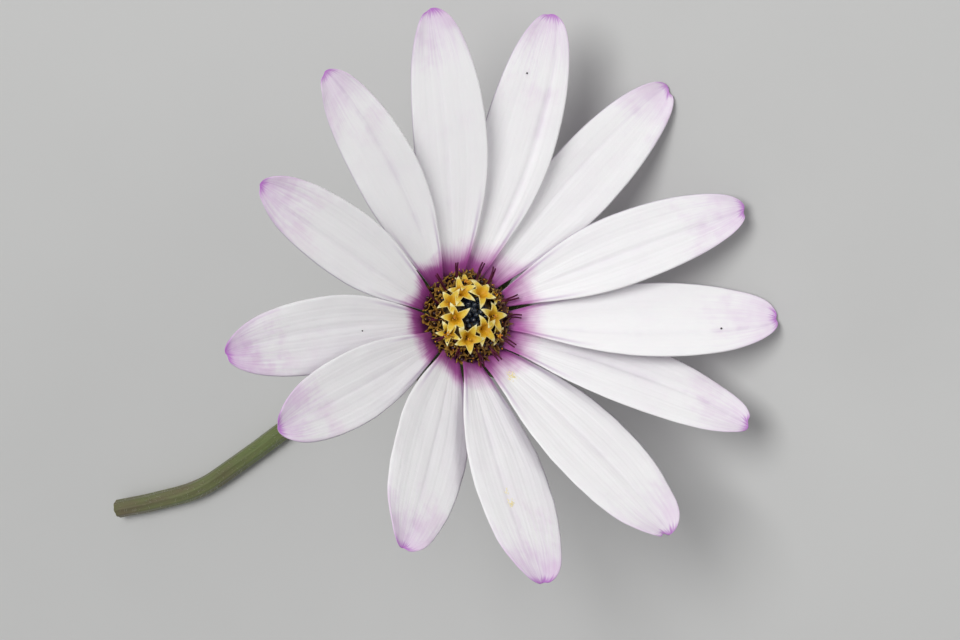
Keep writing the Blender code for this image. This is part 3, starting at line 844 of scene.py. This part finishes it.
def budMesh():
    # A closed floret: an egg with five ridges that meet in a blunt point
    rings = []
    for level in range(bud["rings"]):
        share = level / (bud["rings"] - 1)
        girth = math.sin(math.pi * (0.12 + 0.82 * share)) ** 0.8
        ring = []
        for k in range(bud["sides"]):
            furrow = 0.5 - 0.5 * math.cos(2 * math.pi * bud["ridges"] * k / bud["sides"])
            ridge = 1 - bud["ridge"] * furrow * share
            ring.append(polar(bud["radius"] * girth * ridge, 360.0 * k / bud["sides"],
                              bud["height"] * (share - 0.75)))
        rings.append(ring)
    return ringMesh("bud", rings)


def settleTree():
    # Sets a copy of one floret on every point, along the point's axis, turned and sized as the point says
    given = startTree("settleFlorets", {"Floret": "Object"})
    upright = put("FunctionNodeAxesToRotation", {
        "Primary Axis": field("axis", "FLOAT_VECTOR"), "Secondary Axis": field("facing", "FLOAT_VECTOR")},
        primary_axis="Z", secondary_axis="X")
    floret = put("GeometryNodeObjectInfo", {"Object": given["Floret"]})["Geometry"]
    copies = put("GeometryNodeInstanceOnPoints", {
        "Points": given["Geometry"], "Instance": floret, "Rotation": upright, "Scale": field("size")})
    return endTree(copies, given)


settleFlorets = settleTree()


def pointsMesh(rows):
    # Rows of place, axis, facing direction, size and age as points that carry them
    mesh = bpy.data.meshes.new("places")
    mesh.from_pydata([row[0] for row in rows], [], [])
    for column, name in enumerate(("axis", "facing"), 1):
        data = mesh.attributes.new(name, "FLOAT_VECTOR", "POINT").data
        data.foreach_set("vector", [part for row in rows for part in row[column]])
    for column, name in enumerate(("size", "age"), 3):
        mesh.attributes.new(name, "FLOAT", "POINT").data.foreach_set("value", [row[column] for row in rows])
    return mesh


def settle(name, shapes, rows, skin, slot, *replaced):
    # A piece of copies of the shapes, taken in turn, on the rows' places in the head's frame
    made = []
    for first, shape in enumerate(shapes):
        model = bpy.data.objects.new(name + "Model", shape)
        places = pointsMesh(rows[first::len(shapes)])
        made.append(grow(name, settleFlorets, skin, {"Floret": model}, places))
        bpy.data.objects.remove(model, do_unlink=True)
    return placePiece(name, toHead(joined(name, made)), slot, *replaced)


def leaning(degrees, direction):
    return polar(math.tan(math.radians(degrees)), direction, 1.0).normalized()


def anyWay():
    return polar(1, random.uniform(0, 360), 0)


def discPlaces():
    # Where every floret of the disc stands, in the head's frame
    openRows, antherRows, spentPlaces, budRows = [], [], [], []
    for direction, radius, height, size, lobe, showing in openFlorets:
        row = (polar(radius, direction, height), leaning(openLean * radius, direction), polar(1, lobe, 0),
               size, random.uniform(0.0, 0.15))
        openRows.append(row)
        if showing is not None:
            place, axis, facing, _, age = row
            place = place + axis * showing * size + facing * anther["aside"] * size
            antherRows.append((place, axis, facing, size * anther["size"], age))
    for count, radius, height, lean, first in spent["rows"]:
        for k in range(count):
            direction = first + 360.0 * (k + vary(spent["apart"])) / count
            away = radius + vary(spent["radius"])
            axis = leaning(lean + vary(spent["lean"]), direction)
            place = polar(away, direction, height + random.uniform(*spent["height"]))
            # Younger, yellower florets lie on the side that faces away from the slope
            older = -math.cos(math.radians(direction - spent["youngSide"]))
            age = min(1.0, max(0.0, spent["age"] + spent["ageSlope"] * older + vary(spent["ageSpread"])))
            spentPlaces.append((place, axis, anyWay(), random.uniform(*spent["size"]), age))
    middle = Vector((*budHead["centre"], 0))
    for k in range(budHead["count"]):
        away, direction = budHead["spread"] * math.sqrt(k), budHead["turn"] * k
        place = middle + polar(away, direction, budHead["top"] - budHead["fall"] * away * away)
        budRows.append((place, leaning(budHead["lean"] * away, direction), anyWay(),
                        random.uniform(*budHead["size"]), 0.0))
    return openRows, antherRows, spentPlaces, budRows


def grainMesh():
    grain = bmesh.new()
    bmesh.ops.create_icosphere(grain, subdivisions=1, radius=1.0)
    mesh = bpy.data.meshes.new("grain")
    grain.to_mesh(mesh)
    grain.free()
    return mesh


threads = {"path": ((2.9, 1.3), (3.6, 1.95), (4.3, 2.3)), "fork": ((4.8, 2.5), (5.4, 2.75), (5.95, 2.95)),
           "radius": 0.14, "taper": 0.35, "apart": 0.14, "turn": 3, "sway": 3, "bend": 7,
           "lift": (-0.15, 0.2), "reach": (0.93, 1.03), "withered": 0.72,
           "Ribs": 1, "Rib Depth": 0.0, "Lumps": 0.02, "Rings": 26, "Sides": 7}


def makeThreads():
    # The forked thread of each ray floret leans out over the petal's foot
    paths = []
    foot, fork = threads["path"][0][0], threads["path"][-1][0]
    for index in range(petal["count"]):
        direction = rootDirection(index) + vary(threads["turn"])
        sway, bend = vary(threads["sway"]), vary(threads["bend"])
        lift = random.uniform(*threads["lift"])
        # Those on the far side of the slope have withered shorter
        withered = math.cos(math.radians(direction)) < -0.4
        reach = threads["withered"] if withered else random.uniform(*threads["reach"])
        trunk = [polar(r, direction + sway * (r - foot), h) for r, h in threads["path"]]
        for side in (-1, 1):
            arm = []
            for share, (r, h) in zip((0.7, 1.0, random.uniform(0.9, 1.5)), threads["fork"]):
                beyond = r - fork
                r = fork + beyond * reach
                aside = math.degrees(threads["apart"] * side * share / r)
                turn = direction + sway * (r - foot) + aside + bend * (beyond / 2) ** 2
                arm.append(polar(r, turn, h + lift + side * random.uniform(0.0, 0.12)))
            line = smoothed(trunk + arm, 4)
            last = len(line) - 1
            girth = [threads["radius"] * (1 - threads["taper"] * (k / last) ** 2) for k in range(last + 1)]
            paths.append([(headPlace @ point * mm, radius * mm) for point, radius in zip(line, girth)])
    mesh = growStalk("rayThreads", threads, "style", paths)
    placePiece("rayThreads", mesh, "spent_floret", "disc_florets_outer")


def makeDisc():
    openRows, antherRows, spentPlaces, budRows = discPlaces()
    stars = [starFloret("openStar", star["open"]) for _ in openRows]
    settle("openFlorets", stars, openRows, "open", "open_floret", "disc_florets_open")
    stars = [starFloret("spentStar", star["spent"]) for _ in range(spent["shapes"])]
    settle("spentFlorets", stars, spentPlaces, "spent", "spent_floret", "disc_florets_outer")
    rows = spentPlaces + antherRows
    settle("anthers", [antherMesh()], rows, "anther", "spent_floret", "disc_florets_outer")
    settle("buds", [budMesh()], budRows, "bud", "bud", "disc_buds")
    # A clump of grains on the anthers of each open floret, and a few grains on the others
    grains = []
    for place, axis, facing, size, _ in antherRows * pollen["perAnther"] + spentPlaces:
        away = Vector([random.gauss(0, pollen["scatter"]) for _ in range(3)])
        place = place + axis * anther["top"] * size + away
        grains.append((place, axis, facing, random.uniform(*pollen["size"]), 0.0))
    settle("pollen", [grainMesh()], grains, "pollen", "open_floret")
    # The receptacle fills the space under the florets
    turns = [360.0 * k / receptacleSides for k in range(receptacleSides)]
    rings = [[polar(radius, turn, height) for turn in turns] for radius, height in receptacle]
    core = ringMesh("receptacle", rings)
    core.materials.append(skins["core"])
    placePiece("receptacle", toHead(core), "spent_floret", "disc_florets_open")


# Crumbs on the petals: dark ones by direction, radius and half width; pollen by direction, radius, number
# and spread
crumbs = {"dark": ((56.8, 25.8, 0.12), (-28.3, 26.6, 0.13), (167.3, 14.4, 0.1)),
          "yellow": ((-80.6, 8.0, 80, 0.27), (-112.5, 21.6, 45, 0.25), (-113.0, 20.4, 12, 0.2)),
          "grain": (0.03, 0.06), "lift": 0.3}


def onPetal(direction, radius):
    # Topmost point of the petals at a place in the head's frame, with the petal's slope there
    start = Matrix.Scale(mm, 4) @ headPlace @ polar(radius, direction, 40.0)
    down = (headTurn @ Vector((0, 0, -1))).normalized()
    hits = [piece.ray_cast(start, down) for piece in petalPieces]
    _, spot, normal, _ = min((hit for hit in hits if hit[0]), key=lambda hit: (hit[1] - start).length)
    return headPlace.inverted() @ Matrix.Scale(1 / mm, 4) @ spot, headTurn.inverted() @ normal


def crumbRow(direction, radius, width):
    place, normal = onPetal(direction, radius)
    return place + normal * width * crumbs["lift"], normal, polar(1, direction, 0), width, 0.0


def makeCrumbs():
    specks, dust = [crumbRow(*row) for row in crumbs["dark"]], []
    for direction, radius, count, spread in crumbs["yellow"]:
        for _ in range(count):
            aside, outward = random.gauss(0, spread), random.gauss(0, spread)
            dust.append(crumbRow(direction + math.degrees(aside / radius), radius + outward,
                                 random.uniform(*crumbs["grain"])))
    settle("petalSpecks", [grainMesh()], specks, "speck", "petal")
    settle("petalPollen", [grainMesh()], dust, "dust", "petal")


stalk = makeStem()
makeHairs(stalk, *makeInvolucre())
print("stem and involucre ready")
makeDisc()
makeCrumbs()
makeThreads()
print("disc ready")


# Camera, floor and light

# The camera's own axes; its distance from the head's centre and the millimetres that it stands aside
view = {"towards": (0.4462, 0.0004, 0.8949), "right": (0.8174, -0.4074, -0.4073),
        "up": (0.3645, 0.9132, -0.1821), "distance": 352.0, "aside": (1.93, -0.13), "lens": 120.0}
floorColour = (0.54, 0.54, 0.53)
lamps = {  # direction in the camera's right, up and towards; watts; size and distance in metres
    "key": ((-0.44, 0.2, 0.87), 3.8, 0.45, 0.75),
    "fill": ((0.75, 0.28, 0.62), 2.4, 0.6, 0.8),
    "rim": ((0.15, 0.95, 0.25), 0.6, 0.4, 0.8),
    "back": ((-0.9, -0.4, 0.07), 0.8, 0.5, 0.8),
}


def makeStage():
    scene = bpy.context.scene
    turn = Matrix([view[word] for word in ("right", "up", "towards")]).transposed()
    camera = linked("camera", bpy.data.cameras.new("camera"))
    camera.data.lens = view["lens"]
    camera.data.clip_start = 0.01
    aside = turn @ Vector((*view["aside"], view["distance"])) * mm
    camera.matrix_world = Matrix.Translation(headCentre + aside) @ turn.to_4x4()
    scene.camera = camera

    for name, (direction, watts, size, distance) in lamps.items():
        lamp = bpy.data.lights.new(name, "AREA")
        lamp.energy = watts
        lamp.shape = "DISK"
        lamp.size = size
        holder = linked(name, lamp)
        aim = (turn @ Vector(direction)).normalized()
        holder.location = headCentre + aim * distance
        holder.rotation_euler = aim.to_track_quat("Z", "Y").to_euler()

    scene.world = bpy.data.worlds.new("studio")
    scene.world.use_nodes = True
    sky = scene.world.node_tree.nodes["Background"].inputs
    sky["Color"].default_value = (0.85, 0.86, 0.88, 1.0)
    sky["Strength"].default_value = 0.3
    scene.view_settings.view_transform = "Standard"

    bpy.ops.mesh.primitive_plane_add(size=6.0)
    floor = bpy.context.object
    floor.name = "floor"
    paint = startMaterial("floorPaint", Roughness=0.8)
    paler = tuple(min(1.0, 1.04 * c) for c in floorColour)
    floor.data.materials.append(dress(paint, tint(noiseAt(objectPlace(), 60.0, 4.0), floorColour, paler)))


makeStage()
